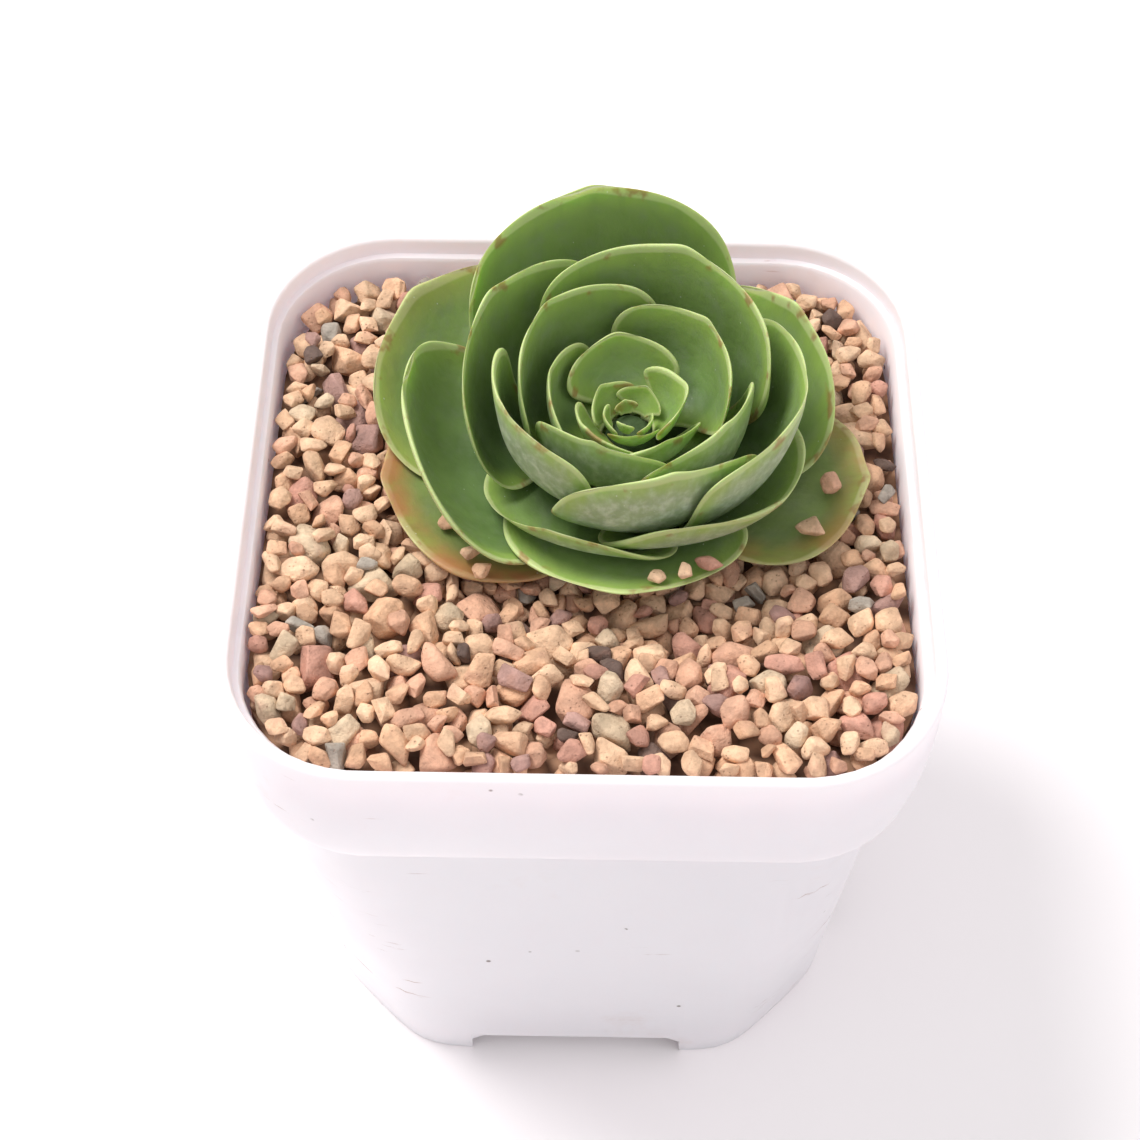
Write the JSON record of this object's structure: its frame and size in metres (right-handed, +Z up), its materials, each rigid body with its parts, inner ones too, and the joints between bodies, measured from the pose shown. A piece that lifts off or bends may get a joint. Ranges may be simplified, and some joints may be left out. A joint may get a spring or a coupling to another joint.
{
  "type": "potted succulent",
  "caption": "Rose-shaped succulent with nested spoon-shaped leaves, growing in clay grit in a square white plastic nursery pot.",
  "frame": {"origin": "centre of the pot's footprint, on the surface it stands on", "axes": "+Z up; -Y is the face of the pot towards the viewer; +X to the viewer's right"},
  "size_m": [0.085, 0.085, 0.1049],
  "materials": {
    "pot_plastic": "smooth injection-moulded polypropylene, slightly translucent, soft sheen, with a few soil scuffs",
    "potting_mix": "dark crumbly gritty potting mix",
    "clay_grit": "matt tan calcined clay grit, 3 to 6 mm, some stones pinkish or grey",
    "stem": "corky short stem",
    "leaf": "waxy fleshy green leaf, glaucous outside, pale yellow-green margin, satin sheen"
  },
  "bodies": {
    "root": {"pot": "pot_plastic", "potting_mix": "potting_mix", "gravel_top_dressing": "clay_grit", "stem": "stem", "leaf_01": "leaf", "leaf_02": "leaf", "leaf_03": "leaf", "leaf_04": "leaf", "leaf_05": "leaf", "leaf_06": "leaf", "leaf_07": "leaf", "leaf_08": "leaf", "leaf_09": "leaf", "leaf_10": "leaf", "leaf_11": "leaf", "leaf_12": "leaf", "leaf_13": "leaf", "leaf_14": "leaf", "leaf_15": "leaf", "leaf_16": "leaf", "leaf_17": "leaf", "leaf_18": "leaf", "leaf_19": "leaf", "leaf_20": "leaf", "leaf_21": "leaf", "leaf_22": "leaf", "leaf_23": "leaf", "leaf_24": "leaf", "leaf_25": "leaf", "leaf_26": "leaf", "leaf_27": "leaf", "leaf_28": "leaf", "leaf_29": "leaf", "leaf_30": "leaf", "loose_stone_1": "clay_grit", "loose_stone_2": "clay_grit", "loose_stone_3": "clay_grit", "loose_stone_4": "clay_grit", "loose_stone_5": "clay_grit", "loose_stone_6": "clay_grit", "loose_stone_7": "clay_grit", "loose_stone_8": "clay_grit"}
  },
  "joints": []
}
